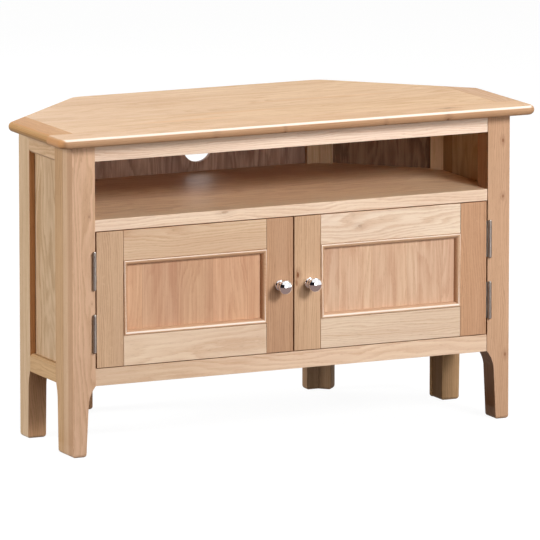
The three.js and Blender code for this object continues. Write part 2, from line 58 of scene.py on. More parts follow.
def rgb(code, gain=1.0):
    """Linear colour of an sRGB hex code, times gain: one number or one for each channel."""
    parts = [int(code[i:i + 2], 16) / 255 for i in (0, 2, 4)]
    linear = [p / 12.92 if p <= 0.04045 else ((p + 0.055) / 1.055) ** 2.4 for p in parts]
    gains = (gain,) * 3 if isinstance(gain, (int, float)) else gain
    return (*[p * g for p, g in zip(linear, gains)], 1.0)


# Node trees
class Tree:
    """Short words for building a node tree.  A value is a number, a tuple or a socket."""

    def __init__(self, tree):
        self.tree = tree

    def node(self, kind, inputs=(), **props):
        made = self.tree.nodes.new("ShaderNode" + kind)
        for key, value in props.items():
            setattr(made, key, value)
        for key, value in dict(inputs).items():
            self.put(made.inputs[key], value)
        return made

    def put(self, socket, value):
        if isinstance(value, bpy.types.NodeSocket):
            self.tree.links.new(value, socket)
        else:
            socket.default_value = value

    def math(self, op, *values, clamp=False):
        return self.node("Math", enumerate(values), operation=op, use_clamp=clamp).outputs[0]

    def add(self, *values):
        total = values[0]
        for value in values[1:]:
            total = self.math("ADD", total, value)
        return total

    def largest(self, *values):
        most = values[0]
        for value in values[1:]:
            most = self.math("MAXIMUM", most, value)
        return most

    def mul(self, a, b):
        return self.math("MULTIPLY", a, b)

    def sub(self, a, b):
        return self.math("SUBTRACT", a, b)

    def square(self, value):
        return self.math("POWER", value, 2.0)

    def hypot(self, a, b):
        return self.math("SQRT", self.add(self.square(a), self.square(b)))

    def wide(self, value, amount):
        """Noise of 0 to 1 as a swing of amount about 0."""
        return self.mul(self.sub(value, 0.5), amount)

    def step(self, value, low, high, start=0.0, end=1.0):
        """A smooth step from start at low to end at high."""
        made = self.node("MapRange", {0: value, 1: low, 2: high, 3: start, 4: end},
                         interpolation_type="SMOOTHSTEP", clamp=True)
        return made.outputs[0]

    def fall(self, value, low, high):
        return self.step(value, low, high, 1.0, 0.0)

    def vector(self, x, y, z):
        return self.node("CombineXYZ", {0: x, 1: y, 2: z}).outputs[0]

    def split(self, vector):
        return self.node("SeparateXYZ", {0: vector}).outputs

    def vmath(self, op, *values, out=0):
        return self.node("VectorMath", enumerate(values), operation=op).outputs[out]

    def dot(self, vector, direction):
        return self.vmath("DOT_PRODUCT", vector, tuple(direction), out=1)

    def noise(self, vector, scale=1.0, detail=2.0, rough=0.5, bend=0.0):
        made = self.node("TexNoise", {"Vector": vector, "Scale": scale, "Detail": detail,
                                      "Roughness": rough, "Distortion": bend})
        return made.outputs[0]

    def noise_colour(self, vector):
        return self.node("TexNoise", {"Vector": vector, "Scale": 1.0, "Detail": 2.0}).outputs[1]

    def grained(self, along, across, deep, pitch):
        """A point for noise drawn out along the grain.  Pitch is cycles for each mm along and across."""
        return self.vector(self.mul(along, pitch[0]), self.mul(across, pitch[1]), self.mul(deep, pitch[1]))

    def white(self, vector):
        return self.split(self.node("TexWhiteNoise", {"Vector": vector},
                                    noise_dimensions="3D").outputs[1])

    def blend(self, factor, a, b, mode="MIX"):
        made = self.node("Mix", {0: factor, 6: a, 7: b}, data_type="RGBA", blend_type=mode)
        return made.outputs[2]

    def tinted(self, factor, colour, tint):
        """The colour, multiplied by the tint where factor is 1."""
        return self.blend(factor, colour, tint, "MULTIPLY")


def new_group(name, ins, outs):
    tree = bpy.data.node_groups.new(name, "ShaderNodeTree")
    for label, kind in ins:
        tree.interface.new_socket(label, in_out="INPUT", socket_type="NodeSocket" + kind)
    for label, kind in outs:
        tree.interface.new_socket(label, in_out="OUTPUT", socket_type="NodeSocket" + kind)
    given = tree.nodes.new("NodeGroupInput").outputs
    result = tree.nodes.new("NodeGroupOutput").inputs
    return Tree(tree), given, result


def cleared(owner, kind):
    """An emptied tree for a material or world, and the socket that its surface goes to."""
    owner.use_nodes = True
    owner.node_tree.nodes.clear()
    t = Tree(owner.node_tree)
    return t, t.node("Output" + kind).inputs[0]


def new_material(name):
    made = bpy.data.materials.new(name)
    t, surface = cleared(made, "Material")
    shader = t.node("BsdfPrincipled")
    t.put(surface, shader.outputs[0])
    return made, t, shader


# Oak.  Lengths are mm, and a pitch is cycles for each mm along the grain and across it
RING_SPACING = 3.3
RING_FRAY = 0.7                     # in rings
PULSE_LEVEL = 0.32                  # the pulse of a ring that leaves the tone as it is
SEED_SIDEWAYS, SEED_LENGTHWAYS = 13.7, 91.0     # shifts for each step of the seed
TRUNK_LENGTH, TRUNK_WIDTH = 900.0, 70.0         # the staves come from this much of a tree
HEART_LEAST, HEART_SPREAD = 14.0, 60.0          # how far from its heart, and how much more at most
HEART_SWAY = (34.0, 26.0)
GRAIN_SLOPE = 0.07
SWAY_PITCH = (0.0042, 0.022)
FRAY_PITCH = (0.05, 0.9)
FINE_PITCH, FINE_WEIGHT = (0.008, 0.55), 1.5
BROAD_PITCH, BROAD_WEIGHT = (0.005, 0.09), 1.6
SLOW_PITCH, SLOW_WEIGHT = (0.0032, 0.012), 0.9
RAY_PITCH, RAY_SLANT = 0.17, (0.035, 0.16)
PORE_PITCH, PORE_STRENGTH = (0.11, 2.6), 0.42
PORE_TINT = (0.58, 0.52, 0.48, 1.0)
SEAM_WIDTH, SEAM_STRENGTH, SEAM_TONE = 0.7, 0.16, (0.20, 0.12, 0.07, 1.0)


def oak_group():
    """Oak seen in board space: millimetres along the grain, across the face and into it."""
    t, given, result = new_group(
        "oak_wood",
        [("Board", "Vector"), ("Seed", "Float"), ("Stave", "Float"), ("Light", "Color"),
         ("Dark", "Color"), ("Vary", "Float"), ("Rings", "Float"), ("Streaks", "Float"),
         ("Flecks", "Float")],
        [("Color", "Color"), ("Roughness", "Float"), ("Height", "Float")])
    x, y, z = t.split(given["Board"])
    seed, stave = given["Seed"], given["Stave"]
    row = t.math("DIVIDE", t.add(y, t.mul(seed, SEED_SIDEWAYS)), stave)
    index, inside = t.math("FLOOR", row), t.math("FRACT", row)
    r1, r2, r3 = t.white(t.vector(index, seed, 0.5))
    # where this stave lay in its tree
    along = t.add(x, t.mul(r1, TRUNK_LENGTH), t.mul(seed, SEED_LENGTHWAYS))
    across = t.add(t.wide(inside, stave), t.wide(r2, TRUNK_WIDTH))
    tilt = t.mul(t.wide(r1, GRAIN_SLOPE), x)
    depth = t.add(z, t.add(HEART_LEAST, t.mul(r3, HEART_SPREAD)), tilt)
    sway = t.split(t.noise_colour(t.grained(along, across, depth, SWAY_PITCH)))
    radius = t.hypot(t.add(across, t.wide(sway[0], HEART_SWAY[0])),
                     t.add(depth, t.wide(sway[1], HEART_SWAY[1])))
    fray = t.noise(t.vector(t.mul(along, FRAY_PITCH[0]), t.mul(across, FRAY_PITCH[1]), depth))
    ring = t.add(t.math("DIVIDE", radius, RING_SPACING), t.wide(fray, RING_FRAY))
    # each ring starts dark and pales, some more strongly than others
    part = t.math("FRACT", ring)
    pulse = t.mul(t.step(part, 0.0, 0.14), t.fall(part, 0.16, 0.85))
    strong = t.white(t.vector(t.math("FLOOR", ring), seed, 3.5))[0]
    pulse = t.mul(pulse, t.add(0.45, t.mul(strong, 0.75)))
    # streaks of colour along the grain, fine and broad, and slow blushes of tone
    fine = t.noise(t.grained(along, across, z, FINE_PITCH), 1.0, 3.0, 0.6)
    broad = t.noise(t.grained(along, across, depth, BROAD_PITCH))
    slow = t.noise(t.vector(t.mul(along, SLOW_PITCH[0]), t.mul(y, SLOW_PITCH[1]), t.add(seed, 4.0)))
    streaks = t.add(t.wide(fine, FINE_WEIGHT), t.wide(broad, BROAD_WEIGHT))
    shade = t.add(0.5, t.mul(given["Rings"], t.sub(pulse, PULSE_LEVEL)),
                  t.mul(given["Streaks"], streaks), t.wide(slow, SLOW_WEIGHT))
    base = t.blend(t.math("ADD", shade, 0.0, clamp=True), given["Light"], given["Dark"])
    # staves differ in tone and warmth
    tone = t.add(1.0, t.mul(given["Vary"], t.sub(r2, 0.5)))
    base = t.tinted(1.0, base, t.vector(tone, tone, tone))
    hue = t.add(t.wide(slow, 0.10), t.mul(t.wide(r3, 0.35), given["Vary"]))
    base = t.tinted(1.0, base, t.vector(t.sub(1.0, t.mul(hue, 0.2)), 1.0, t.add(1.0, hue)))
    # rays: pale flecks that cross the grain at a slant
    lean = t.add(t.mul(across, RAY_SLANT[1]), t.mul(along, RAY_SLANT[0]))
    ray = t.noise(t.vector(t.mul(along, RAY_PITCH), lean, t.mul(index, 7.0)), bend=0.7)
    ray = t.mul(t.step(ray, 0.60, 0.70), given["Flecks"])
    base = t.blend(t.mul(ray, 0.5), base, given["Light"])
    # pores: short dark dashes, crowded where each ring starts
    pore = t.noise(t.grained(along, across, z, PORE_PITCH), 1.0, 1.0, 0.4)
    pore = t.mul(t.step(pore, 0.60, 0.72), t.add(0.3, t.mul(pulse, 0.9)))
    base = t.blend(t.math("MULTIPLY", pore, PORE_STRENGTH, clamp=True), base,
                   t.tinted(1.0, given["Dark"], PORE_TINT))
    # the glued seams between staves
    seam = t.mul(t.math("MINIMUM", inside, t.sub(1.0, inside)), stave)
    seam = t.fall(seam, 0.0, SEAM_WIDTH)
    base = t.blend(t.mul(seam, SEAM_STRENGTH), base, SEAM_TONE)
    t.put(result["Color"], base)
    t.put(result["Roughness"], t.add(t.wide(fine, 0.14), t.mul(pore, 0.18), t.wide(slow, 0.10)))
    t.put(result["Height"], t.sub(t.mul(fine, 0.35), t.add(pore, t.mul(pulse, 0.25), seam)))
    return t.tree


EDGE_WIDTH = 2.2 * MM


def edge_group():
    """How near a point of a board is to one of its edges: 1 on the edge, 0 away from it."""
    t, given, result = new_group(
        "board_edge", [("Point", "Vector"), ("Low", "Vector"), ("High", "Vector")], [("Edge", "Float")])
    near = t.vmath("MINIMUM", t.vmath("SUBTRACT", given["Point"], given["Low"]),
                   t.vmath("SUBTRACT", given["High"], given["Point"]))
    a, b, c = t.split(near)
    least = t.math("MINIMUM", t.math("MINIMUM", a, b), c)
    middle = t.sub(t.add(a, b, c), t.add(least, t.largest(a, b, c)))
    t.put(result["Edge"], t.fall(middle, 0.0, EDGE_WIDTH))
    return t.tree


OAK = oak_group()
EDGE = edge_group()

KNOT_TONE = rgb("7a4526")
KNOT_FRAY = 0.7
KNOT_REACH, KNOT_BEND = 2.6, 0.75       # the grain runs round a knot within this many of its sizes
HALO_SHARE = 0.35
# painted highlight on upward slopes that face the front
HIGHLIGHT_TONE = rgb("fdf0e2")
HIGHLIGHT_FADE = (0.18, 0.06)               # below and above the band, in slope
WEAR_PITCH, WEAR_STRENGTH = 45.0, 0.30  # pitch in cycles for each metre
WEAR_TINT = (1.06, 1.04, 1.0, 1.0)
WEAR_ROUGH = 0.12
DOT_PITCH = (0.5, 1.3)
END_TINT = (0.86, 0.74, 0.62, 1.0)
PORE_RELIEF = 0.25 * MM


def with_knots(t, x, y, z, knots):
    """The place across the grain, bent round the knots, and where the knots are dark."""
    spots = []
    for along, across, length, width, strength in knots:
        dx, dy = t.sub(x, along), t.sub(y, across)
        ragged = t.noise(t.vector(t.mul(x, 0.35), t.mul(y, 0.35), z))
        far = t.hypot(t.math("DIVIDE", dx, length), t.math("DIVIDE", dy, width))
        far = t.add(far, t.wide(ragged, KNOT_FRAY))
        swirl = t.math("EXPONENT", t.mul(t.square(t.math("DIVIDE", far, KNOT_REACH)), -1.0))
        y = t.sub(y, t.mul(t.mul(dy, swirl), KNOT_BEND))
        heart = t.mul(t.fall(far, 0.45, 1.15), strength)
        halo = t.mul(t.fall(far, 0.8, 3.2), strength * HALO_SHARE)
        spots.append(t.largest(heart, halo))
    return y, t.largest(*spots) if spots else 0.0


def with_patches(t, colour, x, y, z, patches):
    """The colour, tinted in soft ragged ovals: tones of the wood, and on some boards painted light or
    shade.
    """
    for along, across, length, width, strength, tint in patches:
        dx, dy = t.math("DIVIDE", t.sub(x, along), length), t.math("DIVIDE", t.sub(y, across), width)
        ragged = t.noise(t.vector(t.mul(x, 0.02), t.mul(y, 0.25), z), 1.0, 3.0)
        far = t.add(t.mul(dx, dx), t.mul(dy, dy), t.wide(ragged, 1.1))
        colour = t.tinted(t.mul(t.fall(far, 0.2, 1.5), strength), colour, tint)
    return colour


def with_facing(t, colour, normal, x, facing):
    """The colour, tinted on the faces that look a given way: mostly painted shade or light, and tones such
    as end grain.
    """
    for direction, low, high, tint, *stretch in facing:
        look = t.step(t.dot(normal, direction), low, high)
        for start, end in stretch:
            look = t.mul(look, t.step(x, start - 1.0, start + 1.0))
            look = t.mul(look, t.fall(x, end - 1.0, end + 1.0))
        colour = t.tinted(look, colour, tint)
    return colour


def with_crest(t, colour, normal, low, high, strength):
    """The colour with a painted highlight: pale on slopes from low to high that face the front."""
    slope = t.dot(normal, Z)
    band = t.mul(t.step(slope, low - HIGHLIGHT_FADE[0], low), t.fall(slope, high, high + HIGHLIGHT_FADE[1]))
    aside = t.math("ABSOLUTE", t.dot(normal, X))
    band = t.mul(band, t.fall(aside, 0.2, 0.5))
    return t.blend(t.mul(band, strength), colour, HIGHLIGHT_TONE)


def oak(name, box, grain, across, light, dark, seed, stave=900.0, vary=0.0, rings=0.5, streaks=0.5,
        flecks=0.0, rough=0.5, gloss=0.16, knots=(), patches=(), facing=(), crest=None, glued=None):
    """Lacquered oak for one board.  Knots are (along, across, length, width, strength) in mm
    along and across the grain, and patches of another tone, on some boards painted light or shade,
    are the same with a tint.  Facing is (direction, low, high, tint) for faces that look that way,
    mostly painted shade or light, and may end in (from, to), the stretch along the grain in mm
    that has it.  The painted highlight is (low, high, strength) for the band of upward slope painted
    pale, and glued is (depth in mm, tint) for the lamination behind the front one."""
    made, t, shader = new_material(name)
    where = t.node("TexCoord").outputs
    point, normal = where["Object"], where["Normal"]
    into = Vector(grain).cross(Vector(across))
    x, y, z = (t.mul(t.dot(point, way), 1 / MM) for way in (grain, across, into))
    y, spot = with_knots(t, x, y, z, knots)
    wood = t.node("Group", node_tree=OAK)
    for key, value in (("Board", t.vector(x, y, z)), ("Seed", seed), ("Stave", stave),
                       ("Light", light), ("Dark", dark), ("Vary", vary), ("Rings", rings),
                       ("Streaks", streaks), ("Flecks", flecks)):
        t.put(wood.inputs[key], value)
    edge = t.node("Group", {"Point": point, "Low": tuple(box[0]), "High": tuple(box[1])},
                  node_tree=EDGE).outputs[0]
    worn = t.mul(edge, t.noise(point, WEAR_PITCH, 3.0))
    colour = t.blend(t.mul(worn, WEAR_STRENGTH), wood.outputs["Color"], t.tinted(1.0, light, WEAR_TINT))
    colour = with_patches(t, colour, x, y, z, patches)
    if knots:
        colour = t.blend(spot, colour, KNOT_TONE)
    if glued is not None:
        behind = t.step(z, glued[0] - 0.5, glued[0] + 0.5)
        colour = t.tinted(behind, colour, glued[1])
    colour = with_facing(t, colour, normal, x, facing)
    # a painted highlight on upward slopes
    if crest is not None:
        colour = with_crest(t, colour, normal, *crest)
    # end grain is darker and dotted
    ends = t.step(t.math("ABSOLUTE", t.dot(normal, grain)), 0.35, 0.95)
    dots = t.noise(t.grained(x, y, z, DOT_PITCH), 1.0, 3.0, 0.7)
    colour = t.blend(t.mul(ends, t.step(dots, 0.30, 0.62, 0.35)), colour, t.tinted(1.0, dark, END_TINT))
    t.put(shader.inputs["Base Color"], colour)
    shader.inputs["Specular IOR Level"].default_value = gloss
    t.put(shader.inputs["Roughness"], t.math(
        "ADD", t.add(rough, wood.outputs["Roughness"]), t.mul(worn, WEAR_ROUGH), clamp=True))
    bump = t.node("Bump", {"Strength": 0.35, "Distance": PORE_RELIEF, "Height": wood.outputs["Height"]})
    t.put(shader.inputs["Normal"], bump.outputs[0])
    return made


# Metal and plastic.  Pitches here are cycles for each metre
SMUDGE_PITCH = 160.0
BRUSH_PITCH = (2600.0, 60.0)            # across the brush lines and along them
DULL_TINT = (0.72, 0.69, 0.66, 1.0)
MOULD_PITCH, CLOUD_PITCH = 900.0, 60.0
SHADE_TINT = (0.82, 0.8, 0.78, 1.0)


def metal(name, colour, rough, brush=0.0, dirt=0.3):
    """Plated metal with smudges, and fine upright brush lines where brush is above 0."""
    made, t, shader = new_material(name)
    point = t.node("TexCoord").outputs["Object"]
    smudge = t.noise(point, SMUDGE_PITCH, 4.0, 0.6)
    x, y, z = t.split(point)
    line = t.noise(t.vector(t.mul(x, BRUSH_PITCH[0]), t.mul(y, BRUSH_PITCH[0]), t.mul(z, BRUSH_PITCH[1])))
    dull = t.tinted(1.0, colour, DULL_TINT)
    t.put(shader.inputs["Base Color"], t.blend(t.mul(t.step(smudge, 0.45, 0.8), dirt), colour, dull))
    t.put(shader.inputs["Roughness"], t.math(
        "ADD", rough, t.add(t.wide(smudge, rough * 0.6), t.wide(line, brush)), clamp=True))
    shader.inputs["Metallic"].default_value = 1.0
    bump = t.node("Bump", {"Strength": 0.05 + brush, "Distance": 0.02 * MM, "Height": t.add(line, smudge)})
    t.put(shader.inputs["Normal"], bump.outputs[0])
    return made


def plastic(name, colour):
    """Moulded plastic with a fine grain."""
    made, t, shader = new_material(name)
    point = t.node("TexCoord").outputs["Object"]
    grain = t.noise(point, MOULD_PITCH)
    cloud = t.noise(point, CLOUD_PITCH, 3.0)
    t.put(shader.inputs["Base Color"], t.blend(cloud, colour, t.tinted(1.0, colour, SHADE_TINT)))
    t.put(shader.inputs["Roughness"], t.add(0.5, t.wide(grain, 0.2)))
    bump = t.node("Bump", {"Strength": 0.3, "Distance": 0.1 * MM, "Height": grain})
    t.put(shader.inputs["Normal"], bump.outputs[0])
    return made


# Pieces
SMOOTH_BELOW = math.radians(35)
SHORTEST_EASED = 4 * MM
WELD, FLAT_WITHIN = 0.001 * MM, math.radians(1)
EASE_STEPS = 2
BOARD_ARRIS, FITTING_ARRIS, HINGE_ARRIS = 0.8 * MM, 0.3 * MM, 0.15 * MM


def finish_mesh(piece):
    """Smooth shading inside the soft edges, crisp across the sharp ones, flat on flat faces."""
    bm = bmesh.new()
    bm.from_mesh(piece.data)
    for face in bm.faces:
        face.smooth = True
    for edge in bm.edges:
        edge.smooth = len(edge.link_faces) != 2 or edge.calc_face_angle(math.pi) < SMOOTH_BELOW
    bm.to_mesh(piece.data)
    bm.free()
    weighted = piece.modifiers.new("flat_faces", "WEIGHTED_NORMAL")
    weighted.weight, weighted.keep_sharp = 100, True


def stand_in(name, bm, node, material):
    """Turns bm into a piece that shows in place of a node and moves with that node's body."""
    bmesh.ops.recalc_face_normals(bm, faces=bm.faces)
    mesh = bpy.data.meshes.new(name)
    bm.to_mesh(mesh)
    bm.free()
    piece = bpy.data.objects.new(name, mesh)
    bpy.context.scene.collection.objects.link(piece)
    mesh.materials.append(material)
    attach(piece, BODY_OF[node])
    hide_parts(node)
    finish_mesh(piece)


def eased(node, material, arris):
    """The node's own shape with its sharp edges eased, as a planed and sanded board has."""
    bm = bmesh.new()
    bm.from_mesh(frame["nodes"][node].data)
    bmesh.ops.remove_doubles(bm, verts=bm.verts, dist=WELD)
    bmesh.ops.dissolve_limit(bm, angle_limit=FLAT_WITHIN, verts=bm.verts, edges=bm.edges)
    bmesh.ops.connect_verts_concave(bm, faces=bm.faces)
    sharp = [e for e in bm.edges if e.is_convex and e.calc_length() > SHORTEST_EASED
             and e.calc_face_angle(0) > SMOOTH_BELOW]
    bmesh.ops.bevel(bm, geom=sharp, offset=arris, offset_type="OFFSET", segments=EASE_STEPS,
                    profile=0.5, affect="EDGES", clamp_overlap=True)
    stand_in(node + "_board", bm, node, material)


def lathe(name, profile, centre, axis, around, node, material):
    """A turned piece: (radius, distance along the axis) points turned about the axis."""
    turn = Vector(Z).rotation_difference(Vector(axis)).to_matrix().to_4x4()
    place = Matrix.Translation(centre) @ turn
    bm = bmesh.new()
    rings = []
    for radius, far in profile:
        if radius <= 0:
            rings.append([bm.verts.new(place @ Vector((0, 0, far)))])
        else:
            rings.append([bm.verts.new(place @ Vector((
                radius * math.cos(2 * math.pi * k / around),
                radius * math.sin(2 * math.pi * k / around), far))) for k in range(around)])
    for low, high in zip(rings, rings[1:]):
        for k in range(around):
            corners = [low[k % len(low)], low[(k + 1) % len(low)],
                       high[(k + 1) % len(high)], high[k % len(high)]]
            bm.faces.new(list(dict.fromkeys(corners)))
    stand_in(name, bm, node, material)


# Boards.  These are the light and dark tones of each kind
TONES = {
    "top": ("f0d0b0", "dcb48c"),
    "end": ("e0b88e", "cc9c70"),
    "rail": ("ecd0b6", "d6b092"),
    "shelf": ("e2c2a0", "c8a27e"),
    "post": ("d9b496", "c09a7a"),
    "side": ("ccae8e", "b0906c"),
    "door": ("d6ac8c", "bc9070"),
    "panel": ("dab190", "c49474"),
    "back": ("9a7c6a", "74584a"),
}
ORANGE = (1.0, 0.86, 0.70, 1.0)
# painted shade for the gaps round the doors and the ledge under them
GAP_SHADE = (0.60, 0.41, 0.27, 1.0)
LEG, BODY = (-10.0, 121.0), (121.0, 600.0)      # mm above the floor
# painted shade on the lower, downward part of the top's front edge
BULLNOSE_SHADE = (DOWNWARD, -0.72, -0.35, (0.61, 0.55, 0.54, 1.0))
# painted shade on the undersides of the top's end boards
UNDERSIDE_SHADE = (DOWNWARD, -0.45, 0.35, (0.66, 0.64, 0.60, 1.0))
END_GRAIN = (LEFTWARD, 0.1, 0.6, (0.80, 0.73, 0.64, 1.0))
# painted shade on the door edges that face the gaps
DOOR_EDGE_SHADE = tuple((way, 0.75, 0.97, GAP_SHADE) for way in (X, LEFTWARD, Z, DOWNWARD))
TOP_STYLE = dict(rings=0.42, streaks=0.55, rough=0.42, gloss=0.06)
END_STYLE = dict(rings=0.45, rough=0.42)
BACK_STYLE = dict(rings=0.8, streaks=0.9, rough=0.55)

# what a board has of its own, in the words of oak, and painted light and shade.  Gain tints both tones of
# its kind, and on many boards it also stands in for the light or shade that falls there
LOOKS = {
    "top_centre_board": dict(
        gain=(1.05, 1.0, 0.90),
        patches=((-400.0, 0.0, 330.0, 500.0, 1.0, (0.95, 0.92, 0.88, 1.0)),
                 (-170.0, -108.0, 90.0, 9.0, 0.5, ORANGE), (-60.0, -60.0, 120.0, 8.0, 0.35, ORANGE),
                 (150.0, 20.0, 150.0, 10.0, 0.3, ORANGE))),
    # top_front_board: a painted highlight along the top of its bullnose, and painted shade below it
    "top_front_board": dict(
        gain=(0.99, 0.92, 0.82), facing=(BULLNOSE_SHADE, END_GRAIN), crest=(0.62, 0.90, 0.95),
        knots=((295.0, -179.0, 9.0, 3.0, 0.8), (278.0, -214.0, 4.0, 3.0, 0.7),
               (-162.0, -214.0, 4.0, 2.0, 0.5), (-32.0, -214.0, 2.0, 2.0, 0.7),
               (159.0, -214.0, 2.5, 2.0, 0.6))),
    "top_left_end_board": dict(
        gain=(0.84, 0.80, 0.64), gloss=0.04, facing=((Z, 0.7, 0.97, (1.07, 0.89, 0.64, 1.0)), UNDERSIDE_SHADE)),
    "top_right_end_board": dict(gain=(1.03, 1.04, 1.11), gloss=0.06, facing=(UNDERSIDE_SHADE,)),
    # front_top_rail: a broad patch of painted light over its right half
    "front_top_rail": dict(
        gain=(1.03, 1.08, 1.15), patches=((260.0, 523.0, 380.0, 300.0, 1.0, (1.17, 1.21, 1.26, 1.0)),)),
    "front_middle_rail": dict(
        gain=(1.09, 1.15, 1.2), facing=((Z, 0.7, 0.95, (1.04, 1.0, 0.88, 1.0)),),
        knots=((-130.0, 404.0, 9.0, 4.0, 0.35),)),
    # front_bottom_rail: a broad patch of painted light over its right half, and painted shade on its top
    # face under the doors
    "front_bottom_rail": dict(
        gain=(0.87, 0.84, 0.80), patches=((240.0, 137.0, 420.0, 300.0, 1.0, (1.16, 1.20, 1.26, 1.0)),),
        facing=((Z, 0.6, 0.9, GAP_SHADE),)),
    # open_shelf: a broad patch of painted shade over its back, under the top
    "open_shelf": dict(
        gain=(1.28, 1.32, 1.34), patches=((150.0, 230.0, 700.0, 190.0, 1.0, (0.76, 0.72, 0.74, 1.0)),)),
    "back_panel": dict(gain=(1.56, 1.60, 1.66)),
    "left_front_post": dict(
        gain=(1.06, 1.05, 1.06), knots=((414.5, -383.6, 4.0, 2.0, 0.45), (264.7, -378.8, 3.0, 1.5, 0.4)),
        facing=((LEFTWARD, 0.6, 0.95, (0.79, 0.75, 0.68, 1.0)),), glued=(-161.7, (1.17, 1.28, 1.34, 1.0))),
    # right_front_post: painted shade on its left face, which looks inward
    "right_front_post": dict(
        gain=(0.96, 0.91, 0.88), facing=((LEFTWARD, 0.5, 0.95, (0.86, 0.70, 0.55, 1.0)),),
        knots=((492.2, 401.3, 5.0, 2.5, 0.7), (393.8, 401.9, 4.0, 2.5, 0.6),
               (114.6, 407.5, 5.0, 3.0, 0.6))),
    # left_rear_post: painted shade on the front face of its body, in the side's recess, and painted light
    # on the front face of its leg
    "left_rear_post": dict(
        gain=(1.12, 1.15, 1.17), gloss=0.22,
        facing=((FORWARD, 0.6, 0.95, (1.03, 0.72, 0.49, 1.0), BODY),
                (FORWARD, 0.6, 0.95, (1.32, 1.07, 0.96, 1.0), LEG))),
    # right_rear_post: painted shade on its inward face, strong above the leg and light on it, and a broad
    # patch of painted shade low down
    "right_rear_post": dict(
        gain=(1.24, 1.2, 1.22), gloss=0.05,
        patches=((30.0, 30.0, 150.0, 400.0, 1.0, (0.84, 0.78, 0.68, 1.0)),),
        facing=((LEFTWARD, 0.6, 0.95, (0.65, 0.62, 0.48, 1.0), BODY),
                (LEFTWARD, 0.6, 0.95, (0.97, 0.90, 0.82, 1.0), LEG))),
    "left_back_post": dict(gain=(1.40, 1.20, 1.15)),
    # right_back_post: a broad patch of painted shade low down
    "right_back_post": dict(
        gain=(1.14, 1.14, 1.2), patches=((30.0, 235.0, 150.0, 400.0, 1.0, (0.58, 0.53, 0.49, 1.0)),)),
    "left_side_stile": dict(gain=(0.92, 0.82, 0.70)),
    "right_side_stile": dict(gain=(1.0, 1.1, 1.0)),
    "left_side_top_rail": dict(gain=(1.12, 1.10, 1.10)),
    "left_side_bottom_rail": dict(gain=(0.97, 0.88, 0.72)),
    "right_side_panel": dict(gain=(1.08, 1.18, 1.16)),
    "left_wall_panel": dict(gain=0.8),
    "right_wall_panel": dict(gain=(1.0, 0.93, 0.78)),
    "left_door_hinge_stile": dict(gain=(1.0, 1.10, 1.12)),
    "right_door_hinge_stile": dict(gain=(0.95, 0.91, 0.86)),
    "left_door_meeting_stile": dict(gain=(0.85, 0.83, 0.80)),
    "right_door_meeting_stile": dict(
        gain=(1.05, 1.14, 1.14), knots=((285.1, 7.8, 6.0, 3.2, 0.9), (271.0, 6.3, 7.0, 2.4, 0.6))),
    "left_door_top_rail": dict(gain=(0.865, 0.83, 0.77)),
    "right_door_top_rail": dict(gain=(1.09, 1.2, 1.28), knots=((126.1, 361.5, 6.0, 3.0, 0.4),)),
    "left_door_bottom_rail": dict(gain=(1.0, 1.04, 1.05)),
    "right_door_bottom_rail": dict(gain=(0.98, 1.04, 1.07)),
    "left_door_panel": dict(gain=(0.97, 0.95, 0.94)),
    "right_door_panel": dict(gain=(1.06, 1.17, 1.27)),
    "left_door_bead": dict(gain=(0.97, 0.99, 0.98)),
    "right_door_bead": dict(gain=(1.02, 1.1, 1.14)),
}


def board_oak(node, tone, grain, across, seed, **style):
    """The oak of one board: its kind's style with what the board has of its own."""
    look = {**style, **LOOKS.get(node, {})}
    gain = look.pop("gain", 1.0)
    light, dark = (rgb(code, gain) for code in TONES[tone])
    return oak("oak_" + node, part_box(node), grain, across, light, dark, seed, **look)


def board(node, tone, grain, across, seed, **style):
    eased(node, board_oak(node, tone, grain, across, seed, **style), BOARD_ARRIS)


# the bead's profile: mm in from the door frame, and mm in front of the door's face
BEAD_DEPTH = 7.6
BEAD = ((0, -BEAD_DEPTH), (0, 0.6), (0.4, 1.5), (1.2, 2.2), (2.2, 2.4), (3.4, 2.2), (4.8, 1.5), (6.2, 0.3),
        (7.4, -1.4), (8.4, -3.8), (9.0, -7.0), (9.0, -BEAD_DEPTH))


def bead(node, seed):
    """A mitred rectangular ring of rounded moulding round the panel."""
    low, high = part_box(node)
    face = high.y - BEAD_DEPTH * MM
    bm = bmesh.new()
    loops = []
    for inward, proud in BEAD:
        x0, x1 = low.x + inward * MM, high.x - inward * MM
        z0, z1 = low.z + inward * MM, high.z - inward * MM
        y = face - proud * MM
        loops.append([bm.verts.new(c) for c in ((x0, y, z0), (x1, y, z0), (x1, y, z1), (x0, y, z1))])
    for near, far in zip(loops, loops[1:] + loops[:1]):
        for k in range(4):
            bm.faces.new((near[k], near[(k + 1) % 4], far[(k + 1) % 4], far[k]))
    # the bead has a painted highlight on its upward slopes
    material = board_oak(node, "panel", X, Z, seed, rings=0.3, streaks=0.3, rough=0.32,
                         crest=(0.20, 0.62, 0.8))
    stand_in(node + "_moulding", bm, node, material)


# the top: staves along the front, with a strip across each end
board("top_centre_board", "top", X, Y, 3.0, stave=84.0, vary=0.07, **TOP_STYLE)
board("top_front_board", "top", X, Y, 8.0, stave=200.0, vary=0.02, **TOP_STYLE)
board("top_left_end_board", "end", Y, X, 12.0, **END_STYLE)
board("top_right_end_board", "end", Y, X, 15.0, **END_STYLE)

# the frame across the front, the level boards and the back
board("front_top_rail", "rail", X, Z, 21.0, rings=0.6)
board("front_middle_rail", "rail", X, Z, 24.0)
board("front_bottom_rail", "rail", X, Z, 27.0, streaks=0.45)
board("open_shelf", "shelf", X, Y, 33.0, stave=95.0, vary=0.05, rings=0.4, rough=0.42, gloss=0.15)
board("cupboard_floor", "shelf", X, Y, 36.0, stave=95.0, vary=0.05, rough=0.38)
board("back_panel", "back", Z, X, 40.0, stave=118.0, vary=0.16, **BACK_STYLE)

